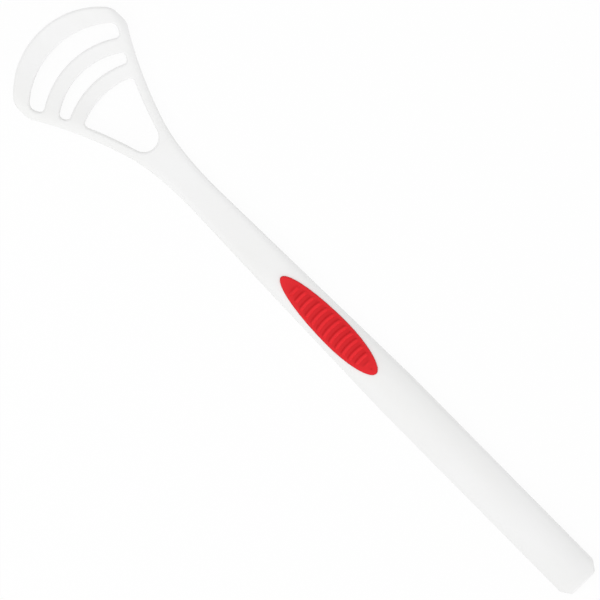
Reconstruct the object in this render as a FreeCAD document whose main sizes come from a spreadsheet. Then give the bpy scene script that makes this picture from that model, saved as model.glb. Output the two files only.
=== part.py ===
import FreeCAD, Part
import math
import os
import Sketcher
from FreeCAD import Rotation, Vector

# A tongue scraper that lies on its back: +X runs to the tip of the head, +Z out of the front,
# and the origin is under the middle of the length. All sizes are millimetres.
SIZES = {
    # Plan outline, with places measured back from the tip
    "overall_length": 168.0,
    "head_width": 30.0,
    "tip_radius": 18.9,
    "head_corner_radius": 4.1,
    "rail_from_tip": 11.8,
    "rail_corner_radius": 3.0,
    "rail_radius": 92.5,
    "rail_width": 2.1,
    "bend_from_tip": 39.9,
    "bend_radius": 41.5,
    "neck_from_tip": 49.5,
    "neck_width": 6.95,
    "neck_radius": 86.0,
    "handle_from_tip": 111.0,
    "handle_width": 10.0,
    "shoulder_radius": 100.0,
    "tail_chamfer_length": 2.25,
    "tail_chamfer_width": 1.55,
    "tail_corner_radius": 0.9,
    # Blades and openings along the centre line, from the tip inwards
    "outer_blade_width": 4.9,
    "outer_slot_width": 4.5,
    "middle_blade_width": 3.4,
    "inner_slot_width": 3.3,
    "inner_blade_width": 3.5,
    "triangle_length": 15.8,
    "outer_slot_tip_radius": 19.1,
    "outer_slot_root_radius": 19.8,
    "inner_slot_tip_radius": 16.5,
    "inner_slot_root_radius": 19.3,
    "triangle_tip_radius": 18.3,
    "slot_corner_radius": 1.9,
    "opening_corner_radius": 1.0,
    # Side view
    "rail_thickness": 2.8,
    "handle_thickness": 4.7,
    "tail_thickness": 4.2,
    "scoop_from_tip": 40.0,
    "scoop_rise": 2.9,
    "swell_from_tip": 40.0,
    "swell_length": 48.0,
    "tail_roll_length": 3.0,
    "tail_roll_depth": 0.6,
    # Form of the front face across the width
    "dish_depth": 1.2,
    "dish_from_tip": 36.0,
    "dish_run": 13.0,
    "crown_height": 1.3,
    "crown_from_tip": 55.0,
    "crown_run": 45.0,
    "edge_roll_width": 1.2,
    "edge_roll_depth": 0.45,
    "edge_radius": 0.5,
    "back_edge_radius": 0.9,
    # Soft grip in its recess
    "grip_from_tip": 74.6,
    "grip_front_length": 17.1,
    "grip_back_length": 12.4,
    "grip_width": 6.65,
    "grip_depth": 1.6,
    "grip_proud": 0.45,
    "grip_edge_radius": 0.4,
    "grip_clearance": 0.05,
    "anchor_count": 3,
    "anchor_pitch": 7.0,
    "anchor_diameter": 2.0,
    "anchor_depth": 1.4,
    "rib_count": 12,
    "rib_pitch": 1.874,
    "rib_lead": 0.3,
    "rib_arc_radius": 9.0,
    "rib_width": 1.05,
    "rib_height": 0.3,
    "rib_margin": 0.79,
    "gate_from_end": 1.5,
    "gate_diameter": 0.45,
    "gate_depth": 0.15,
}

doc = FreeCAD.newDocument("tongue_scraper")
sheet = doc.addObject("Spreadsheet::Sheet", "Sizes")
for row, (alias, value) in enumerate(SIZES.items(), start=1):
    sheet.set("A%d" % row, alias)
    sheet.set("B%d" % row, str(value))
    sheet.setAlias("B%d" % row, alias)
doc.recompute()


def size(alias):
    return float(getattr(sheet, alias))


# Stock beyond the finished faces, which the cutting forms reach into
MARGIN = 1.0
# Points closer than this count as one
TOUCHING = 1e-3
STOCK_HEIGHT = size("handle_thickness") + size("scoop_rise") + MARGIN
HALF_LENGTH = size("overall_length") / 2


def from_tip(distance):
    return HALF_LENGTH - distance


def blend(start, run, value):
    """Goes smoothly from 0 at start to 1 at start + run."""
    share = min(max((value - start) / run, 0.0), 1.0)
    return share ** 3 * (10 - 15 * share + 6 * share ** 2)


# Plan outline


def circles_meet(centre_a, radius_a, centre_b, radius_b):
    """The upper of the two points that lie at the given distances from both centres."""
    apart = centre_b - centre_a
    along = (radius_a ** 2 - radius_b ** 2 + apart.Length ** 2) / (2 * apart.Length)
    aside = math.sqrt(radius_a ** 2 - along ** 2)
    unit = apart / apart.Length
    normal = Vector(-unit.y, unit.x, 0)
    middle = centre_a + unit * along
    return max(middle + normal * aside, middle - normal * aside, key=lambda point: point.y)


class Plan:
    """Centres and meeting points of the half outline at y > 0."""

    def __init__(self):
        half_head = size("head_width") / 2
        half_handle = size("handle_width") / 2
        self.tip = Vector(HALF_LENGTH, 0, 0)
        self.tip_centre = Vector(from_tip(size("tip_radius")), 0, 0)
        reach = math.sqrt(size("tip_radius") ** 2 - half_head ** 2)
        self.head_corner = Vector(self.tip_centre.x + reach, half_head, 0)
        self.rail_start = Vector(from_tip(size("rail_from_tip")), half_head, 0)

        self.neck = Vector(from_tip(size("neck_from_tip")), size("neck_width") / 2, 0)
        self.neck_centre = self.neck + Vector(0, size("neck_radius"), 0)
        bend_x = from_tip(size("bend_from_tip"))
        turn = math.asin((bend_x - self.neck.x) / size("neck_radius"))
        inward = Vector(-math.sin(turn), math.cos(turn), 0)
        self.bend_start = self.neck_centre - inward * size("neck_radius")
        self.bend_centre = self.bend_start + inward * size("bend_radius")
        self.rail_centre = circles_meet(
            self.rail_start, size("rail_radius"),
            self.bend_centre, size("rail_radius") - size("bend_radius"),
        )
        outward = (self.bend_centre - self.rail_centre).normalize()
        self.bend_end = self.bend_centre + outward * size("bend_radius")

        self.handle_start = Vector(from_tip(size("handle_from_tip")), half_handle, 0)
        self.shoulder_centre = self.handle_start - Vector(0, size("shoulder_radius"), 0)
        apart = self.neck_centre - self.shoulder_centre
        radii = size("neck_radius") + size("shoulder_radius")
        slope = math.atan2(apart.x, apart.y) - math.acos(radii / apart.Length)
        normal = Vector(math.sin(slope), math.cos(slope), 0)
        self.taper_start = self.neck_centre - normal * size("neck_radius")
        self.taper_end = self.shoulder_centre + normal * size("shoulder_radius")

        self.chamfer_start = Vector(-HALF_LENGTH + size("tail_chamfer_length"), half_handle, 0)
        self.chamfer_end = Vector(-HALF_LENGTH, half_handle - size("tail_chamfer_width"), 0)
        self.tail = Vector(-HALF_LENGTH, 0, 0)

    def half_width(self, x):
        """Half the width at x, with the head's widest run carried on to the tip."""
        half_head = size("head_width") / 2
        if x < self.handle_start.x:
            return size("handle_width") / 2
        if x < self.taper_end.x:
            rise = math.sqrt(size("shoulder_radius") ** 2 - (x - self.shoulder_centre.x) ** 2)
            return self.shoulder_centre.y + rise
        if x < self.taper_start.x:
            share = (x - self.taper_end.x) / (self.taper_start.x - self.taper_end.x)
            return self.taper_end.y + share * (self.taper_start.y - self.taper_end.y)
        if x < self.bend_start.x:
            centre, radius = self.neck_centre, size("neck_radius")
        elif x < self.bend_end.x:
            centre, radius = self.bend_centre, size("bend_radius")
        else:
            centre, radius = self.rail_centre, size("rail_radius")
        flare = centre.y - math.sqrt(radius ** 2 - (x - centre.x) ** 2)
        easing = size("rail_corner_radius") / 2
        return (flare + half_head - math.hypot(flare - half_head, easing)) / 2


plan = Plan()


def origin_plane(body, role):
    return next(item for item in body.Origin.OriginFeatures if item.Role == role)


def new_sketch(body, name, role):
    sketch = body.newObject("Sketcher::SketchObject", name)
    sketch.AttachmentSupport = [(origin_plane(body, role), "")]
    sketch.MapMode = "FlatFace"
    return sketch


def arc(centre, start, end):
    """The shorter arc about a centre from start to end."""
    radius = (start - centre).Length
    middle = (start - centre).normalize() + (end - centre).normalize()
    return Part.Arc(start, centre + middle.normalize() * radius, end)


def line(start, end):
    return Part.LineSegment(start, end)


def bind(sketch, value, expression, kind, *where):
    number = sketch.addConstraint(Sketcher.Constraint(kind, *where, value))
    sketch.setExpression("Constraints[%d]" % number, expression)


class Loop:
    """A closed chain of edges in a sketch, each edge known by a name."""

    def __init__(self, sketch, edges, smooth):
        self.sketch = sketch
        self.number = {}
        for name, edge in edges:
            self.number[name] = sketch.addGeometry(edge, False)
        names = [name for name, edge in edges]
        ends = [(edge.StartPoint, edge.EndPoint) for name, edge in edges]
        for place, name in enumerate(names):
            after = (place + 1) % len(names)
            kind = "Tangent" if (name, names[after]) in smooth else "Coincident"
            sketch.addConstraint(Sketcher.Constraint(
                kind, self.number[name], self.place(name, ends[place][1]),
                self.number[names[after]], self.place(names[after], ends[after][0]),
            ))

    def place(self, name, point):
        """1 for the edge's first point or 2 for its last, whichever lies at the point."""
        first = self.sketch.getPoint(self.number[name], 1)
        return 1 if (first - point).Length < TOUCHING else 2

    def at(self, name, point):
        """The edge's number and the number of its end at the point."""
        return self.number[name], self.place(name, point)


def half_plan(body):
    """Sketch of the half at y > 0: outline, blades, slots and triangular opening in one loop."""
    sketch = new_sketch(body, "half_plan", "XY_Plane")
    inner_rail = size("rail_radius") + size("rail_width")

    def opening_edge(x, alias):
        """Centre-line point, centre and rail corner of an edge that curves towards the tip."""
        centre = Vector(x - size(alias), 0, 0)
        corner = circles_meet(centre, size(alias), plan.rail_centre, inner_rail)
        return Vector(x, 0, 0), centre, corner

    x = from_tip(size("outer_blade_width"))
    outer_tip = opening_edge(x, "outer_slot_tip_radius")
    x -= size("outer_slot_width")
    outer_root = opening_edge(x, "outer_slot_root_radius")
    x -= size("middle_blade_width")
    inner_tip = opening_edge(x, "inner_slot_tip_radius")
    x -= size("inner_slot_width")
    inner_root = opening_edge(x, "inner_slot_root_radius")
    x -= size("inner_blade_width")
    triangle_tip = opening_edge(x, "triangle_tip_radius")
    triangle_end = Vector(x - size("triangle_length"), 0, 0)

    # The small end of the triangle is a circle on the centre line that touches both rails
    reach = plan.rail_centre.x - triangle_end.x
    end_radius = (reach ** 2 + plan.rail_centre.y ** 2 - inner_rail ** 2) / (2 * (inner_rail + reach))
    end_centre = triangle_end + Vector(end_radius, 0, 0)
    end_touch = plan.rail_centre + (end_centre - plan.rail_centre).normalize() * inner_rail

    edges = [
        ("handle_axis", line(plan.tail, triangle_end)),
        ("triangle_end", arc(end_centre, triangle_end, end_touch)),
        ("triangle_side", arc(plan.rail_centre, end_touch, triangle_tip[2])),
        ("triangle_tip", arc(triangle_tip[1], triangle_tip[2], triangle_tip[0])),
        ("inner_blade_axis", line(triangle_tip[0], inner_root[0])),
        ("inner_slot_root", arc(inner_root[1], inner_root[0], inner_root[2])),
        ("inner_slot_end", arc(plan.rail_centre, inner_root[2], inner_tip[2])),
        ("inner_slot_tip", arc(inner_tip[1], inner_tip[2], inner_tip[0])),
        ("middle_blade_axis", line(inner_tip[0], outer_root[0])),
        ("outer_slot_root", arc(outer_root[1], outer_root[0], outer_root[2])),
        ("outer_slot_end", arc(plan.rail_centre, outer_root[2], outer_tip[2])),
        ("outer_slot_tip", arc(outer_tip[1], outer_tip[2], outer_tip[0])),
        ("outer_blade_axis", line(outer_tip[0], plan.tip)),
        ("tip", arc(plan.tip_centre, plan.tip, plan.head_corner)),
        ("head_side", line(plan.head_corner, plan.rail_start)),
        ("rail", arc(plan.rail_centre, plan.rail_start, plan.bend_end)),
        ("bend", arc(plan.bend_centre, plan.bend_end, plan.bend_start)),
        ("neck", arc(plan.neck_centre, plan.bend_start, plan.taper_start)),
        ("taper", line(plan.taper_start, plan.taper_end)),
        ("shoulder", arc(plan.shoulder_centre, plan.taper_end, plan.handle_start)),
        ("handle_side", line(plan.handle_start, plan.chamfer_start)),
        ("tail_chamfer", line(plan.chamfer_start, plan.chamfer_end)),
        ("tail_end", line(plan.chamfer_end, plan.tail)),
    ]
    smooth = {
        ("triangle_end", "triangle_side"), ("rail", "bend"), ("bend", "neck"),
        ("neck", "taper"), ("taper", "shoulder"), ("shoulder", "handle_side"),
    }
    loop = Loop(sketch, edges, smooth)
    number = loop.number

    axis, origin, centre = -1, (-1, 1), 3
    for name in ("handle_axis", "inner_blade_axis", "middle_blade_axis", "outer_blade_axis"):
        for end in (1, 2):
            sketch.addConstraint(Sketcher.Constraint("PointOnObject", number[name], end, axis))
    for name in ("tip", "triangle_end", "triangle_tip", "inner_slot_root", "inner_slot_tip",
                 "outer_slot_root", "outer_slot_tip"):
        sketch.addConstraint(Sketcher.Constraint("PointOnObject", number[name], centre, axis))
    for name in ("triangle_side", "inner_slot_end", "outer_slot_end"):
        sketch.addConstraint(Sketcher.Constraint(
            "Coincident", number[name], centre, number["rail"], centre))
        bind(sketch, inner_rail, "Sizes.rail_radius + Sizes.rail_width", "Radius", number[name])
    for name in ("tip", "rail", "bend", "neck", "shoulder", "triangle_tip", "inner_slot_root",
                 "inner_slot_tip", "outer_slot_root", "outer_slot_tip"):
        alias = name + "_radius"
        bind(sketch, size(alias), "Sizes." + alias, "Radius", number[name])
    for name in ("head_side", "handle_side"):
        sketch.addConstraint(Sketcher.Constraint("Horizontal", number[name]))
    sketch.addConstraint(Sketcher.Constraint("Vertical", number["tail_end"]))

    tip = loop.at("tip", plan.tip)
    tail = loop.at("tail_end", plan.tail)
    along = [
        (origin, tip, "overall_length / 2"),
        (tail, origin, "overall_length / 2"),
        (loop.at("outer_blade_axis", outer_tip[0]), tip, "outer_blade_width"),
        (loop.at("middle_blade_axis", outer_root[0]), loop.at("outer_blade_axis", outer_tip[0]),
         "outer_slot_width"),
        (loop.at("middle_blade_axis", inner_tip[0]), loop.at("middle_blade_axis", outer_root[0]),
         "middle_blade_width"),
        (loop.at("inner_blade_axis", inner_root[0]), loop.at("middle_blade_axis", inner_tip[0]),
         "inner_slot_width"),
        (loop.at("inner_blade_axis", triangle_tip[0]), loop.at("inner_blade_axis", inner_root[0]),
         "inner_blade_width"),
        (loop.at("handle_axis", triangle_end), loop.at("inner_blade_axis", triangle_tip[0]),
         "triangle_length"),
        (loop.at("rail", plan.rail_start), tip, "rail_from_tip"),
        (loop.at("bend", plan.bend_start), tip, "bend_from_tip"),
        ((number["neck"], centre), tip, "neck_from_tip"),
        (loop.at("handle_side", plan.handle_start), tip, "handle_from_tip"),
        (loop.at("tail_end", plan.chamfer_end), loop.at("handle_side", plan.chamfer_start),
         "tail_chamfer_length"),
    ]
    across = [
        (origin, loop.at("rail", plan.rail_start), "head_width / 2"),
        (origin, loop.at("handle_side", plan.handle_start), "handle_width / 2"),
        (origin, (number["neck"], centre), "neck_width / 2 + Sizes.neck_radius"),
        (loop.at("tail_end", plan.chamfer_end), loop.at("handle_side", plan.chamfer_start),
         "tail_chamfer_width"),
    ]
    for kind, rows in (("DistanceX", along), ("DistanceY", across)):
        for start, end, expression in rows:
            step = sketch.getPoint(*end) - sketch.getPoint(*start)
            value = step.x if kind == "DistanceX" else step.y
            bind(sketch, value, "Sizes." + expression, kind, *start, *end)

    corners = {
        "head_corner_radius": [plan.head_corner],
        "rail_corner_radius": [plan.rail_start],
        "tail_corner_radius": [plan.chamfer_start, plan.chamfer_end],
        "slot_corner_radius": [outer_tip[2]],
        "opening_corner_radius": [outer_root[2], inner_tip[2], inner_root[2], triangle_tip[2]],
    }
    return sketch, corners


def add(body, kind, name):
    doc.recompute()
    return body.newObject("PartDesign::" + kind, name)


def round_edges(body, name, edges, radius):
    """Rounds edges of the body's last feature, given by number."""
    base = body.Tip
    feature = add(body, "Fillet", name)
    feature.Base = (base, ["Edge%d" % number for number in edges])
    feature.setExpression("Radius", radius)
    doc.recompute()


def upright_edges(shape, points):
    """Numbers of the straight upright edges that stand on the points or on their mirror images."""
    found = []
    for number, edge in enumerate(shape.Edges, start=1):
        low, high = edge.Vertexes[0].Point, edge.Vertexes[-1].Point
        run = high - low
        foot = Vector(low.x, abs(low.y), 0)
        upright = abs(run.z) > MARGIN and math.hypot(run.x, run.y) < TOUCHING
        if upright and any((foot - point).Length < TOUCHING for point in points):
            found.append(number)
    return found


def is_wall(face):
    """True where a face stands square to the resting plane."""
    surface = face.Surface
    if isinstance(surface, Part.Plane):
        return abs(surface.Axis.z) < TOUCHING
    return isinstance(surface, Part.Cylinder) and abs(surface.Axis.z) > 1 - TOUCHING


def rim_edges(shape, back_outline):
    """Numbers of the edges where a wall meets a front or back face.

    They are those of the back's outline, or else all the others.
    """
    outline = []
    for face in shape.Faces:
        if not is_wall(face) and face.normalAt(*face.Surface.parameter(face.CenterOfMass)).z < 0:
            outline += face.OuterWire.Edges
    found = []
    for number, edge in enumerate(shape.Edges, start=1):
        walls = [is_wall(face) for face in shape.ancestorsOfType(edge, Part.Face)]
        on_outline = any(edge.isSame(other) for other in outline)
        if walls.count(True) == 1 and len(walls) == 2 and on_outline == back_outline:
            found.append(number)
    return found


# Side view and front face

# Shares of the thinnest blade that the rounding of its edges may take
BACK_ROUND_SHARE = 0.55
FRONT_ROUND_SHARE = 0.35
# How steeply the dish between the rails rises to its rim
DISH_POWER = 1.5
# Places across the front face where its height is taken: shares of the dish's half width from the
# middle outwards, then shares of the edge roll's width from its start to beyond the outline
DISH_ROWS = [0.0, 0.15, 0.3, 0.45, 0.6, 0.75, 0.87, 1.0]
EDGE_ROWS = [1.0, 0.75, 0.5, 0.25, 0.0, -0.35, -0.7]
# Spacing along X of those places on the whole front and on the grip
FRONT_STEP = 1.0
GRIP_STEP = 1.5
# How far the smooth surface drawn through those places may pass from them
FRONT_TOLERANCE = 0.01


def edge_round(alias, share):
    """A rounding radius that leaves some of the thinnest blade's edge standing."""
    return "min(Sizes.%s; %g * (Sizes.rail_thickness - Sizes.dish_depth))" % (alias, share)


def scoop_arc():
    """Centre and radius, in the XZ plane, of the arc that lifts the head's back off its rest."""
    run = size("scoop_from_tip")
    radius = (run ** 2 + size("scoop_rise") ** 2) / (2 * size("scoop_rise"))
    return from_tip(run), radius


def back_height(x):
    start, radius = scoop_arc()
    return radius - math.sqrt(radius ** 2 - max(x - start, 0.0) ** 2)


def front_height(x, y):
    """Height of the front face over the resting plane."""
    behind = HALF_LENGTH - x
    half_width = plan.half_width(x)
    aside = abs(y)

    swell = blend(size("swell_from_tip"), size("swell_length"), behind)
    height = back_height(x) + size("rail_thickness")
    height += swell * (size("handle_thickness") - size("rail_thickness"))
    grip_end = size("grip_from_tip") + size("grip_front_length") + size("grip_back_length")
    thinning = blend(grip_end, size("overall_length") - grip_end, behind)
    height -= thinning * (size("handle_thickness") - size("tail_thickness"))

    tail_run = max(behind - size("overall_length") + size("tail_roll_length"), 0.0)
    height -= size("tail_roll_depth") * (tail_run / size("tail_roll_length")) ** 2

    crown = blend(size("crown_from_tip"), size("crown_run"), behind)
    height -= crown * size("crown_height") * (aside / half_width) ** 2

    edge_run = max(aside - half_width + size("edge_roll_width"), 0.0)
    height -= size("edge_roll_depth") * (edge_run / size("edge_roll_width")) ** 2

    dish_share = aside / (half_width - size("rail_width"))
    if dish_share < 1:
        dish = 1 - blend(size("dish_from_tip") - size("dish_run"), size("dish_run"), behind)
        height -= dish * size("dish_depth") * (1 - dish_share ** 2) ** DISH_POWER
    return height


def front_tool(name, x_from, x_to, step, lift):
    """Solid over the front face, lifted by a height, between two places along X."""
    count = math.ceil((x_to - x_from) / step)
    grid = []
    for station in range(count + 1):
        x = x_from + (x_to - x_from) * station / count
        half_width = plan.half_width(x)
        side = [share * (half_width - size("rail_width")) for share in DISH_ROWS]
        side += [half_width - share * size("edge_roll_width") for share in EDGE_ROWS]
        across = [-y for y in reversed(side[1:])] + side
        grid.append([Vector(x, y, front_height(x, y) + lift) for y in across])
    surface = Part.BSplineSurface()
    surface.approximate(Points=grid, DegMin=3, DegMax=5, Continuity=2, Tolerance=FRONT_TOLERANCE)
    tool = doc.addObject("Part::Feature", name)
    tool.Shape = surface.toShape().extrude(Vector(0, 0, 2 * STOCK_HEIGHT))
    return tool


def cut_away(body, name, tool):
    """Takes a solid away from the body."""
    tool_body = doc.addObject("PartDesign::Body", tool.Name + "_body")
    tool_body.BaseFeature = tool
    feature = add(body, "Boolean", name)
    feature.Type = "Cut"
    feature.setObjects([tool_body])
    doc.recompute()


def back_sketch(body):
    """Side view of what lies under the back: level along the handle, then the head's lift."""
    sketch = new_sketch(body, "under_back", "XZ_Plane")
    start, radius = scoop_arc()
    low = -2 * MARGIN
    end = HALF_LENGTH + MARGIN
    tail = Vector(-end, 0, 0)
    lift = Vector(start, 0, 0)
    tip = Vector(end, back_height(end), 0)
    edges = [
        ("level", line(tail, lift)),
        ("scoop", arc(Vector(start, radius, 0), lift, tip)),
        ("tip_side", line(tip, Vector(end, low, 0))),
        ("floor", line(Vector(end, low, 0), Vector(-end, low, 0))),
        ("tail_side", line(Vector(-end, low, 0), tail)),
    ]
    loop = Loop(sketch, edges, {("level", "scoop")})
    number = loop.number
    sketch.addConstraint(Sketcher.Constraint("PointOnObject", number["level"], 1, -1))
    sketch.addConstraint(Sketcher.Constraint("Horizontal", number["level"]))
    sketch.addConstraint(Sketcher.Constraint("Horizontal", number["floor"]))
    sketch.addConstraint(Sketcher.Constraint("Vertical", number["tip_side"]))
    sketch.addConstraint(Sketcher.Constraint("Vertical", number["tail_side"]))
    margin = str(MARGIN)
    bind(sketch, radius, "(Sizes.scoop_from_tip ^ 2 + Sizes.scoop_rise ^ 2) / (2 * Sizes.scoop_rise)",
         "Radius", number["scoop"])
    bind(sketch, end, "Sizes.overall_length / 2 + " + margin, "DistanceX", -1, 1, number["tip_side"], 1)
    bind(sketch, end, "Sizes.overall_length / 2 + " + margin, "DistanceX", number["level"], 1, -1, 1)
    bind(sketch, start, "Sizes.overall_length / 2 - Sizes.scoop_from_tip", "DistanceX",
         -1, 1, number["level"], 2)
    sketch.addConstraint(Sketcher.Constraint("DistanceY", number["floor"], 1, -1, 1, -low))
    return sketch


# Soft grip


GRIP_FLOOR = "Sizes.handle_thickness - Sizes.grip_depth"
GRIP_X = "Sizes.overall_length / 2 - Sizes.grip_from_tip - Sizes.grip_front_length"
GRIP_CENTRE = GRIP_X + " + (Sizes.grip_front_length - Sizes.grip_back_length) / 2"
RIB_BEAD = "(Sizes.rib_width ^ 2 / 4 + Sizes.rib_height ^ 2) / (2 * Sizes.rib_height)"


def grip_middle():
    """Place along X where the grip is widest."""
    return from_tip(size("grip_from_tip") + size("grip_front_length"))


def grip_centre():
    """Middle of the grip's length along X."""
    return grip_middle() + (size("grip_front_length") - size("grip_back_length")) / 2


def grip_half_width(x):
    """Half the grip's width at x: a long half ellipse to the head, a short one to the tail."""
    run = x - grip_middle()
    reach = size("grip_front_length") if run > 0 else size("grip_back_length")
    return size("grip_width") / 2 * math.sqrt(max(1 - (run / reach) ** 2, 0.0))


def grip_top(x, y):
    return front_height(x, y) + size("grip_proud")


def raise_to(sketch, expression):
    sketch.setExpression("AttachmentOffset.Base.z", expression)


def grip_sketch(body, name, inset):
    """The grip's egg-shaped outline, drawn in by an inset, on the floor of its recess."""
    sketch = new_sketch(body, name, "XY_Plane")
    raise_to(sketch, GRIP_FLOOR)
    gap = size("grip_clearance") if inset else 0.0
    half_width = size("grip_width") / 2 - gap
    centre = Vector(grip_middle(), 0, 0)
    quarter = math.pi / 2
    halves = [
        ("grip_front_length", -quarter, quarter),
        ("grip_back_length", quarter, 3 * quarter),
    ]
    for alias, first, last in halves:
        ellipse = Part.Ellipse(centre, size(alias) - gap, half_width)
        sketch.addGeometry(Part.ArcOfEllipse(ellipse, first, last), False)
    front, back = 0, 1
    sketch.addConstraint(Sketcher.Constraint("Coincident", front, 2, back, 1))
    sketch.addConstraint(Sketcher.Constraint("Coincident", back, 2, front, 1))
    sketch.addConstraint(Sketcher.Constraint("Coincident", front, 3, back, 3))
    sketch.addConstraint(Sketcher.Constraint("PointOnObject", front, 3, -1))
    sketch.exposeInternalGeometry(front)
    sketch.exposeInternalGeometry(back)
    front_major, front_minor, back_major = 2, 3, 6
    for axis in (front_major, back_major):
        sketch.addConstraint(Sketcher.Constraint("Horizontal", axis))
    for end in (1, 2):
        sketch.addConstraint(Sketcher.Constraint("PointOnObject", front, end, front_minor))
    inward = " - 2 * Sizes.grip_clearance" if inset else ""
    bind(sketch, 2 * (size("grip_front_length") - gap), "2 * Sizes.grip_front_length" + inward,
         "Distance", front_major)
    bind(sketch, 2 * (size("grip_back_length") - gap), "2 * Sizes.grip_back_length" + inward,
         "Distance", back_major)
    bind(sketch, 2 * half_width, "Sizes.grip_width" + inward, "Distance", front_minor)
    bind(sketch, centre.x, GRIP_X, "DistanceX", -1, 1, front, 3)
    return sketch


def anchor_sketch(body, name, inset):
    """A row of round anchors along the centre line, on the floor of the recess."""
    sketch = new_sketch(body, name, "XY_Plane")
    raise_to(sketch, GRIP_FLOOR)
    gap = size("grip_clearance") if inset else 0.0
    radius = size("anchor_diameter") / 2 - gap
    inward = " - Sizes.grip_clearance" if inset else ""
    count = int(size("anchor_count"))
    for place in range(count):
        steps = place - (count - 1) / 2
        x = grip_centre() + steps * size("anchor_pitch")
        circle = sketch.addGeometry(Part.Circle(Vector(x, 0, 0), Vector(0, 0, 1), radius), False)
        sketch.addConstraint(Sketcher.Constraint("PointOnObject", circle, 3, -1))
        bind(sketch, radius, "Sizes.anchor_diameter / 2" + inward, "Radius", circle)
        bind(sketch, x, "%s + %g * Sizes.anchor_pitch" % (GRIP_CENTRE, steps),
             "DistanceX", -1, 1, circle, 3)
    return sketch


def pocket(body, name, sketch, depth=None, side="One side", upwards=False):
    """Cuts a sketch into the body, right through where no depth is given."""
    doc.recompute()
    faces = len(body.Shape.Faces)
    feature = add(body, "Pocket", name)
    feature.Profile = sketch
    feature.SideType = side
    feature.Reversed = upwards
    if depth is None:
        feature.Type = "ThroughAll"
    else:
        feature.Type = "Length"
        feature.setExpression("Length", depth)
    doc.recompute()
    if len(body.Shape.Faces) <= faces:
        raise RuntimeError(name + " cuts nothing")


def gate_sketch(body):
    """Small round mark near the grip's tail end, just under the surface."""
    sketch = new_sketch(body, "gate", "XY_Plane")
    x = grip_middle() - size("grip_back_length") + size("gate_from_end")
    height = grip_top(x, 0) - size("gate_depth")
    sketch.AttachmentOffset = FreeCAD.Placement(Vector(0, 0, height), Rotation())
    radius = size("gate_diameter") / 2
    circle = sketch.addGeometry(Part.Circle(Vector(x, 0, 0), Vector(0, 0, 1), radius), False)
    sketch.addConstraint(Sketcher.Constraint("PointOnObject", circle, 3, -1))
    bind(sketch, radius, "Sizes.gate_diameter / 2", "Radius", circle)
    bind(sketch, x, GRIP_X + " - Sizes.grip_back_length + Sizes.gate_from_end",
         "DistanceX", -1, 1, circle, 3)
    return sketch


def top_edges(shape):
    """Numbers of the edges of the one face that looks up."""
    top = max(shape.Faces, key=lambda face: face.CenterOfMass.z)
    return [number for number, edge in enumerate(shape.Edges, start=1)
            if any(edge.isSame(other) for other in top.Edges)]


def build_body():
    body = doc.addObject("PartDesign::Body", "scraper_body")
    sketch, corners = half_plan(body)
    pad = add(body, "Pad", "half_blank")
    pad.Profile = sketch
    pad.SideType = "Two sides"
    pad.Length = STOCK_HEIGHT
    pad.Length2 = MARGIN
    mirror = add(body, "Mirrored", "whole_blank")
    mirror.Originals = [pad]
    mirror.MirrorPlane = (origin_plane(body, "XZ_Plane"), [""])
    body.Tip = mirror
    doc.recompute()
    for alias, points in corners.items():
        name = alias.replace("_radius", "_round")
        round_edges(body, name, upright_edges(body.Tip.Shape, points), "Sizes." + alias)

    pocket(body, "back_face", back_sketch(body), side="Symmetric")
    end = HALF_LENGTH + MARGIN
    cut_away(body, "front_face", front_tool("front_form", -end, end, FRONT_STEP, 0.0))
    round_edges(body, "back_rim", rim_edges(body.Shape, True),
                edge_round("back_edge_radius", BACK_ROUND_SHARE))
    round_edges(body, "soft_edges", rim_edges(body.Shape, False),
                edge_round("edge_radius", FRONT_ROUND_SHARE))

    pocket(body, "grip_recess", grip_sketch(body, "recess_outline", False), upwards=True)
    pocket(body, "anchor_holes", anchor_sketch(body, "anchor_hole_row", False), "Sizes.anchor_depth")
    return body


def build_grip():
    """Crowned pad with anchors below, ribs on top and the mark of its injection gate."""
    body = doc.addObject("PartDesign::Body", "grip_pad")
    pad = add(body, "Pad", "grip_blank")
    pad.Profile = grip_sketch(body, "grip_outline", True)
    pad.Length = STOCK_HEIGHT
    doc.recompute()
    ahead = from_tip(size("grip_from_tip")) + MARGIN
    behind = grip_middle() - size("grip_back_length") - MARGIN
    form = front_tool("grip_form", behind, ahead, GRIP_STEP, size("grip_proud"))
    cut_away(body, "grip_face", form)
    round_edges(body, "grip_rim", top_edges(body.Shape), "Sizes.grip_edge_radius")
    pocket(body, "gate_mark", gate_sketch(body), upwards=True)
    pegs = add(body, "Pad", "anchor_pegs")
    pegs.Profile = anchor_sketch(body, "anchor_row", True)
    pegs.Reversed = True
    pegs.setExpression("Length", "Sizes.anchor_depth - Sizes.grip_clearance")

    ribs = []
    count = int(size("rib_count"))
    for place in range(count):
        x = grip_centre() + size("rib_lead") + (place - (count - 1) / 2) * size("rib_pitch")
        ribs += add_rib("rib_%d" % (place + 1), x)
    grip = doc.addObject("Part::MultiFuse", "thumb_grip")
    grip.Shapes = [body] + ribs
    return grip


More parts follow.
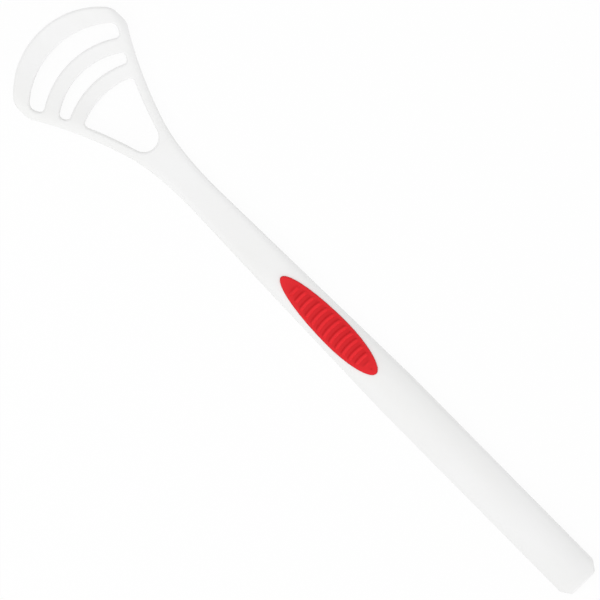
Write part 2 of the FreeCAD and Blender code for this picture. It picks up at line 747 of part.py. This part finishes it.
def add_rib(name, x):
    """A round bead with round ends that bows towards the head and follows the crown of the pad.

    It is sunk so far that it stands out by the rib's height and is as wide as the rib there.
    """
    bead_radius = (size("rib_width") ** 2 / 4 + size("rib_height") ** 2) / (2 * size("rib_height"))
    sink = bead_radius - size("rib_height")
    half = grip_half_width(x) - size("rib_margin") - size("rib_width") / 2
    bow = size("rib_arc_radius") - math.sqrt(size("rib_arc_radius") ** 2 - half ** 2)
    top = Vector(x, 0, grip_top(x, 0) - sink)
    ends = [Vector(x - bow, side * half, grip_top(x - bow, half) - sink) for side in (-1, 1)]
    drop = top.z - ends[0].z
    sag = math.hypot(bow, drop)
    ring = (half ** 2 + sag ** 2) / (2 * sag)
    spread = math.degrees(2 * math.asin(half / ring))
    tilt = math.degrees(math.atan2(drop, bow))
    inward = Vector(-bow, 0, -drop) / sag

    bead = doc.addObject("Part::Torus", name)
    bead.Radius1 = ring
    bead.setExpression("Radius2", RIB_BEAD)
    bead.Angle3 = spread
    turn = Rotation(Vector(0, 1, 0), -tilt) * Rotation(Vector(0, 0, 1), -spread / 2)
    bead.Placement = FreeCAD.Placement(top + inward * ring, turn)
    parts = [bead]
    for number, end in enumerate(ends, start=1):
        ball = doc.addObject("Part::Sphere", "%s_end_%d" % (name, number))
        ball.setExpression("Radius", RIB_BEAD)
        ball.Placement = FreeCAD.Placement(end, turn)
        parts.append(ball)
    return parts


def check(label, item):
    """Stops the build if a sub-part is not one sound solid."""
    shape = item.Shape
    if shape.isNull() or not shape.isValid() or len(shape.Solids) != 1:
        raise RuntimeError(label + " is not one valid solid")


sub_parts = {"scraper_body": build_body(), "thumb_grip": build_grip()}
doc.recompute()
for item in doc.Objects:
    if "Invalid" in item.State or "Error" in item.State:
        raise RuntimeError(item.Name + " failed")
for label, item in sub_parts.items():
    check(label, item)
os.makedirs("parts", exist_ok=True)
for label, item in sub_parts.items():
    item.Label = label
    item.Shape.exportStep("parts/%s.step" % label)
    print(label, round(item.Shape.Volume, 2))
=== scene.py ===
import math
import bpy
from mathutils import Matrix, Vector

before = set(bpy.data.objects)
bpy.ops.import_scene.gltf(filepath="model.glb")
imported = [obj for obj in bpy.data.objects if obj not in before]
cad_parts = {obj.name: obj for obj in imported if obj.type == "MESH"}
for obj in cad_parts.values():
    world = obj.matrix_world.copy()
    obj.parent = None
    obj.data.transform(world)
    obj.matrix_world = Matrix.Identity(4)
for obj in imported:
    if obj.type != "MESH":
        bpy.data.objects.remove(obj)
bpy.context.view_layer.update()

MM = 0.001


def colour(hex_code):
    """Linear RGBA of an sRGB hex colour."""
    def linear(pair):
        share = int(pair, 16) / 255
        return share / 12.92 if share <= 0.04045 else ((share + 0.055) / 1.055) ** 2.4
    return tuple(linear(hex_code[at:at + 2]) for at in (1, 3, 5)) + (1.0,)


def per_mm(feature_mm):
    """Texture scale at which one feature of the pattern is this many millimetres wide."""
    return 1 / (feature_mm * MM)


def add_node(tree, kind, values=None, links=None, **settings):
    """Adds a node with its settings, socket values and incoming links."""
    made = tree.nodes.new(kind)
    for name, value in settings.items():
        setattr(made, name, value)
    for name, value in (values or {}).items():
        made.inputs[name].default_value = value
    for name, source in (links or {}).items():
        tree.links.new(source, made.inputs[name])
    return made


def new_material(name):
    """Material without any node yet, and its node tree."""
    material = bpy.data.materials.new(name)
    material.use_nodes = True
    material.node_tree.nodes.clear()
    return material, material.node_tree


# Materials

# Most of a noise pattern lies between these two of its values
NOISE_LOW, NOISE_HIGH = 0.3, 0.7
# Depth of the moulded texture of both plastics
GRAIN_DEPTH = 0.012 * MM


def moulded_white_plastic():
    """Rigid white polypropylene, injection moulded with a fine satin texture.

    It looks even and opaque, with a soft sheen that breaks up slightly in the texture, faint
    clouding from the flow of the melt, and a handle rubbed a little smoother by use.
    """
    material, tree = new_material("moulded_white_polypropylene")
    place = add_node(tree, "ShaderNodeTexCoord").outputs["Object"]

    # The clouding is drawn out along the handle, the way the melt flowed
    clouding_mm, flow_stretch = 9, (0.35, 1, 1)
    along_flow = add_node(tree, "ShaderNodeMapping", {"Scale": flow_stretch}, {"Vector": place})
    clouding = add_node(
        tree, "ShaderNodeTexNoise",
        {"Scale": per_mm(clouding_mm), "Detail": 3.0, "Roughness": 0.55},
        {"Vector": along_flow.outputs["Vector"]})
    tint = add_node(tree, "ShaderNodeValToRGB", links={"Fac": clouding.outputs["Fac"]})
    darker, lighter = tint.color_ramp.elements
    darker.position = NOISE_LOW
    darker.color = colour("#F1F1F0")
    lighter.position = NOISE_HIGH
    lighter.color = colour("#F4F4F4")

    # The real grain is about 0.08 mm, too fine to show, so it is drawn at 0.3 mm
    grain_mm = 0.3
    grain = add_node(
        tree, "ShaderNodeTexNoise", {"Scale": per_mm(grain_mm), "Detail": 2.0}, {"Vector": place})
    bump = add_node(
        tree, "ShaderNodeBump", {"Strength": 0.25, "Distance": GRAIN_DEPTH},
        {"Height": grain.outputs["Fac"]})

    smoothest, roughest = 0.42, 0.52
    texture_sheen = add_node(
        tree, "ShaderNodeMapRange",
        {"From Min": NOISE_LOW, "From Max": NOISE_HIGH, "To Min": smoothest, "To Max": roughest},
        {"Value": grain.outputs["Fac"]})
    # Fingers hold the handle round the grip, and rub its texture smoother there
    held_to_x, unheld_from_x, rubbed_by = 8 * MM, 26 * MM, 0.07
    along = add_node(tree, "ShaderNodeSeparateXYZ", links={"Vector": place}).outputs["X"]
    rubbed = add_node(
        tree, "ShaderNodeMapRange",
        {"From Min": held_to_x, "From Max": unheld_from_x, "To Min": rubbed_by, "To Max": 0.0},
        {"Value": along})
    roughness = add_node(
        tree, "ShaderNodeMath",
        links={0: texture_sheen.outputs["Result"], 1: rubbed.outputs["Result"]},
        operation="SUBTRACT")

    surface = add_node(
        tree, "ShaderNodeBsdfPrincipled", {"IOR": 1.49},
        {"Base Color": tint.outputs["Color"], "Roughness": roughness.outputs["Value"],
         "Normal": bump.outputs["Normal"]})
    add_node(tree, "ShaderNodeOutputMaterial", links={"Surface": surface.outputs["BSDF"]})
    return material


# The grip's outline is two half ellipses that meet at its widest place
GRIP_WIDEST_X = -7.7 * MM
GRIP_FRONT, GRIP_BACK, GRIP_HALF_WIDTH = 17.1 * MM, 12.4 * MM, 3.325 * MM
# Its ribs are arcs, in a row along X
RIB_PITCH, RIB_COUNT, RIB_ARC_RADIUS = 1.874 * MM, 12, 9.0 * MM
RIB_ROW_MIDDLE_X = -5.05 * MM


def outline_share(tree, x, y_squared):
    """0 in the middle of the grip's widest place, and 1 all along its outline."""
    ahead = add_node(
        tree, "ShaderNodeMath", {1: GRIP_WIDEST_X}, {0: x}, operation="SUBTRACT").outputs["Value"]
    to_front = add_node(
        tree, "ShaderNodeMath", {1: GRIP_FRONT}, {0: ahead}, operation="DIVIDE")
    to_back = add_node(
        tree, "ShaderNodeMath", {1: -GRIP_BACK}, {0: ahead}, operation="DIVIDE")
    to_end = add_node(
        tree, "ShaderNodeMath",
        links={0: to_front.outputs["Value"], 1: to_back.outputs["Value"]},
        operation="MAXIMUM").outputs["Value"]
    end_squared = add_node(
        tree, "ShaderNodeMath", links={0: to_end, 1: to_end}, operation="MULTIPLY")
    return add_node(
        tree, "ShaderNodeMath", {1: GRIP_HALF_WIDTH ** -2},
        {0: y_squared, 2: end_squared.outputs["Value"]},
        operation="MULTIPLY_ADD").outputs["Value"]


def rib_painted_light(tree, x, y_squared):
    """Painted light and shade of the ribbed part, from 0 in the shaded creases to 1 on the lit tail
    side of a rib.
    """
    # Each rib bows towards the head, so that x plus the bow is the same all along it
    row = add_node(
        tree, "ShaderNodeMath", {1: 0.5 / RIB_ARC_RADIUS}, {0: y_squared, 2: x},
        operation="MULTIPLY_ADD")
    tail_rib_x = RIB_ROW_MIDDLE_X - (RIB_COUNT - 1) / 2 * RIB_PITCH
    from_tail_rib = add_node(
        tree, "ShaderNodeMath", {1: tail_rib_x}, {0: row.outputs["Value"]}, operation="SUBTRACT")
    # 0 to 1 from the middle of one valley to the next, with the rib's top at 0.5
    across_ribs = add_node(
        tree, "ShaderNodeMath", {1: 1 / RIB_PITCH, 2: 0.5}, {0: from_tail_rib.outputs["Value"]},
        operation="MULTIPLY_ADD")
    within_pitch = add_node(
        tree, "ShaderNodeMath", links={0: across_ribs.outputs["Value"]}, operation="FRACT")

    # Painted light on the tail side of each rib, which faces the raking light; painted shade in the
    # crease on its head side and in the valleys
    valley_shade, lit_flank, shaded_crease = 0.36, 1.0, 0.0
    painted_light_by_share = {0.17: valley_shade, 0.27: lit_flank, 0.5: lit_flank, 0.64: shaded_crease, 0.74: shaded_crease, 0.86: valley_shade}
    painted_lit = add_node(tree, "ShaderNodeFloatCurve", links={"Value": within_pitch.outputs["Value"]})
    curve = painted_lit.mapping.curves[0]
    curve.points[0].location = (0.0, valley_shade)
    curve.points[1].location = (1.0, valley_shade)
    for share, painted_light in painted_light_by_share.items():
        curve.points.new(share, painted_light)
    for point in curve.points:
        point.handle_type = "VECTOR"
    painted_lit.mapping.update()
    return painted_lit.outputs["Value"]


def grip_painted_light(tree, place):
    """Painted light and shade all over the grip: the lit and shaded sides of its ribs, the smooth
    part round them, and a rim painted paler.
    """
    axes = add_node(tree, "ShaderNodeSeparateXYZ", links={"Vector": place})
    x, y = axes.outputs["X"], axes.outputs["Y"]
    y_squared = add_node(
        tree, "ShaderNodeMath", links={0: y, 1: y}, operation="MULTIPLY").outputs["Value"]
    outwards = outline_share(tree, x, y_squared)

    # The smooth part round the ribs keeps a middle level between painted shade and painted light
    ribs_end, smooth_from, smooth_part_level = 0.55, 0.68, 0.55
    on_ribs = add_node(
        tree, "ShaderNodeMapRange",
        {"From Min": ribs_end, "From Max": smooth_from, "To Min": 1.0, "To Max": 0.0},
        {"Value": outwards})
    inside_rim = add_node(
        tree, "ShaderNodeMix", {"A": smooth_part_level},
        {"Factor": on_ribs.outputs["Result"], "B": rib_painted_light(tree, x, y_squared)})

    # Painted light: the rim is painted paler all round
    rim_from, rim_painted_light = 0.6, 0.3
    rim = add_node(
        tree, "ShaderNodeMapRange", {"From Min": rim_from, "From Max": 1.0}, {"Value": outwards})
    return add_node(
        tree, "ShaderNodeMath", {1: rim_painted_light},
        {0: rim.outputs["Result"], 2: inside_rim.outputs["Result"]},
        operation="MULTIPLY_ADD").outputs["Value"]


def soft_red_grip():
    """Red thermoplastic elastomer, moulded with a matte soft-touch finish.

    It looks deep and even, without a sharp highlight; the tail side of each rib and the smooth rim
    are painted a little paler as painted light, and the creases are painted darker as painted shade.
    """
    material, tree = new_material("soft_touch_red_elastomer")
    place = add_node(tree, "ShaderNodeTexCoord").outputs["Object"]
    painted_light = grip_painted_light(tree, place)
    # Painted shade and painted light: darker red in the creases and valleys, paler red on the lit
    # sides of the ribs and on the rim
    tint = add_node(tree, "ShaderNodeValToRGB", links={"Fac": painted_light})
    painted_shaded, painted_lit = tint.color_ramp.elements
    painted_shaded.color = colour("#CB131B")
    painted_lit.color = colour("#EA1D26")

    mottle_mm, darkest, lightest = 2.5, 0.98, 1.02
    mottle = add_node(
        tree, "ShaderNodeTexNoise", {"Scale": per_mm(mottle_mm), "Detail": 3.0},
        {"Vector": place})
    shade = add_node(
        tree, "ShaderNodeMapRange",
        {"From Min": NOISE_LOW, "From Max": NOISE_HIGH, "To Min": darkest, "To Max": lightest},
        {"Value": mottle.outputs["Fac"]})
    red = add_node(
        tree, "ShaderNodeVectorMath",
        links={0: tint.outputs["Color"], 1: shade.outputs["Result"]}, operation="MULTIPLY")

    # The real texture is about 0.05 mm, too fine to show, so it is drawn at 0.25 mm
    grain_mm = 0.25
    grain = add_node(
        tree, "ShaderNodeTexNoise", {"Scale": per_mm(grain_mm), "Detail": 2.0}, {"Vector": place})
    bump = add_node(
        tree, "ShaderNodeBump", {"Strength": 0.2, "Distance": GRAIN_DEPTH},
        {"Height": grain.outputs["Fac"]})
    roughness_in_painted_shade, roughness_in_painted_light = 0.64, 0.5
    roughness = add_node(
        tree, "ShaderNodeMapRange", {"To Min": roughness_in_painted_shade, "To Max": roughness_in_painted_light},
        {"Value": painted_light})

    surface = add_node(
        tree, "ShaderNodeBsdfPrincipled", {"IOR": 1.5, "Specular IOR Level": 0.25},
        {"Base Color": red.outputs["Vector"], "Roughness": roughness.outputs["Result"],
         "Normal": bump.outputs["Normal"]})
    add_node(tree, "ShaderNodeOutputMaterial", links={"Surface": surface.outputs["BSDF"]})
    return material


def dress(node, material):
    """Gives a node of the frame its finish."""
    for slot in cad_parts[node].material_slots:
        slot.material = material


dress("scraper_body", moulded_white_plastic())
dress("thumb_grip", soft_red_grip())


# Floor and light


def seen_directly(tree):
    """1 where the camera sees a thing itself, in a reflection or through glass."""
    path = add_node(tree, "ShaderNodeLightPath")
    either = add_node(
        tree, "ShaderNodeMath",
        links={0: path.outputs["Is Camera Ray"], 1: path.outputs["Is Glossy Ray"]},
        operation="MAXIMUM")
    return add_node(
        tree, "ShaderNodeMath",
        links={0: either.outputs["Value"], 1: path.outputs["Is Transmission Ray"]},
        operation="MAXIMUM").outputs["Value"]


def pale_floor():
    """Wide translucent white sheet, lit from below, that keeps some of the object's shadow.

    To the eye it is white; its softer glow from below lights the walls of the openings.
    """
    shadow_share = 0.08
    glow_below = 0.3
    material, tree = new_material("white_paper")
    paper = add_node(tree, "ShaderNodeBsdfDiffuse", {"Color": colour("#FAFAFA")})
    white = add_node(tree, "ShaderNodeEmission", {"Strength": 1.0})
    share = add_node(
        tree, "ShaderNodeMapRange", {"To Min": glow_below, "To Max": 1 - shadow_share},
        {"Value": seen_directly(tree)})
    mix = add_node(
        tree, "ShaderNodeMixShader",
        links={0: share.outputs["Result"], 1: paper.outputs["BSDF"], 2: white.outputs["Emission"]})
    add_node(tree, "ShaderNodeOutputMaterial", links={"Surface": mix.outputs["Shader"]})

    half, level = 3.0, -0.05 * MM
    mesh = bpy.data.meshes.new("floor")
    corners = [(-half, -half, level), (half, -half, level), (half, half, level), (-half, half, level)]
    mesh.from_pydata(corners, [], [(0, 1, 2, 3)])
    mesh.materials.append(material)
    floor = bpy.data.objects.new("floor", mesh)
    bpy.context.scene.collection.objects.link(floor)


def surrounding_light(level):
    """Even light from all round, seen as white behind the floor's edge."""
    world = bpy.data.worlds.new("studio")
    bpy.context.scene.world = world
    world.use_nodes = True
    tree = world.node_tree
    tree.nodes.clear()
    paper_white = colour("#FFFFFF")
    soft = add_node(tree, "ShaderNodeBackground", {"Color": paper_white, "Strength": level})
    white = add_node(tree, "ShaderNodeBackground", {"Color": paper_white, "Strength": 1.0})
    mix = add_node(
        tree, "ShaderNodeMixShader",
        links={0: seen_directly(tree), 1: soft.outputs["Background"],
               2: white.outputs["Background"]})
    add_node(tree, "ShaderNodeOutputWorld", links={"Surface": mix.outputs["Shader"]})


def soft_box(name, direction, distance, across, power):
    """Square soft box that faces the object from a direction."""
    lamp = bpy.data.lights.new(name, "AREA")
    lamp.shape = "SQUARE"
    lamp.size = across
    lamp.energy = power
    holder = bpy.data.objects.new(name, lamp)
    unit = Vector(direction).normalized()
    holder.visible_camera = False
    holder.location = unit * distance
    holder.rotation_euler = unit.to_track_quat("Z", "Y").to_euler()
    bpy.context.scene.collection.objects.link(holder)


# Camera: nearly square to the front, with the head up to the left
PICTURE_TURN = math.radians(45.365)
CAMERA_TILT = math.radians(3)
PICTURE_WIDTH = 130.05 * MM
PICTURE_CENTRE = Vector((2.91, 0.625, 3.0)) * MM
LENS, SENSOR = 900.0, 36.0


def set_camera():
    """Long lens, far off, so that the picture shows hardly any perspective."""
    data = bpy.data.cameras.new("camera")
    data.lens = LENS
    data.sensor_width = SENSOR
    camera = bpy.data.objects.new("camera", data)
    right = Vector((-math.cos(PICTURE_TURN), -math.sin(PICTURE_TURN), 0))
    up = Vector((math.sin(PICTURE_TURN), -math.cos(PICTURE_TURN), 0))
    from_above = Matrix((right, up, (0, 0, 1))).transposed()
    turn = Matrix.Rotation(CAMERA_TILT, 3, "X") @ from_above
    distance = PICTURE_WIDTH * LENS / SENSOR
    place = PICTURE_CENTRE + turn @ Vector((0, 0, distance))
    camera.matrix_world = Matrix.Translation(place) @ turn.to_4x4()
    data.clip_start = distance / 100
    data.clip_end = distance * 100
    bpy.context.scene.collection.objects.link(camera)
    bpy.context.scene.camera = camera


pale_floor()
surrounding_light(level=0.74)
soft_box("top_light", direction=(0.15, 0.0, 1.0), distance=0.9, across=0.5, power=0.72)
soft_box("main_light", direction=(0.25, 0.58, 0.82), distance=0.6, across=0.4, power=0.57)
soft_box("raking_light", direction=(-0.95, 0.12, 0.27), distance=2.4, across=1.0, power=9.4)
set_camera()
bpy.context.scene.view_settings.view_transform = "Standard"
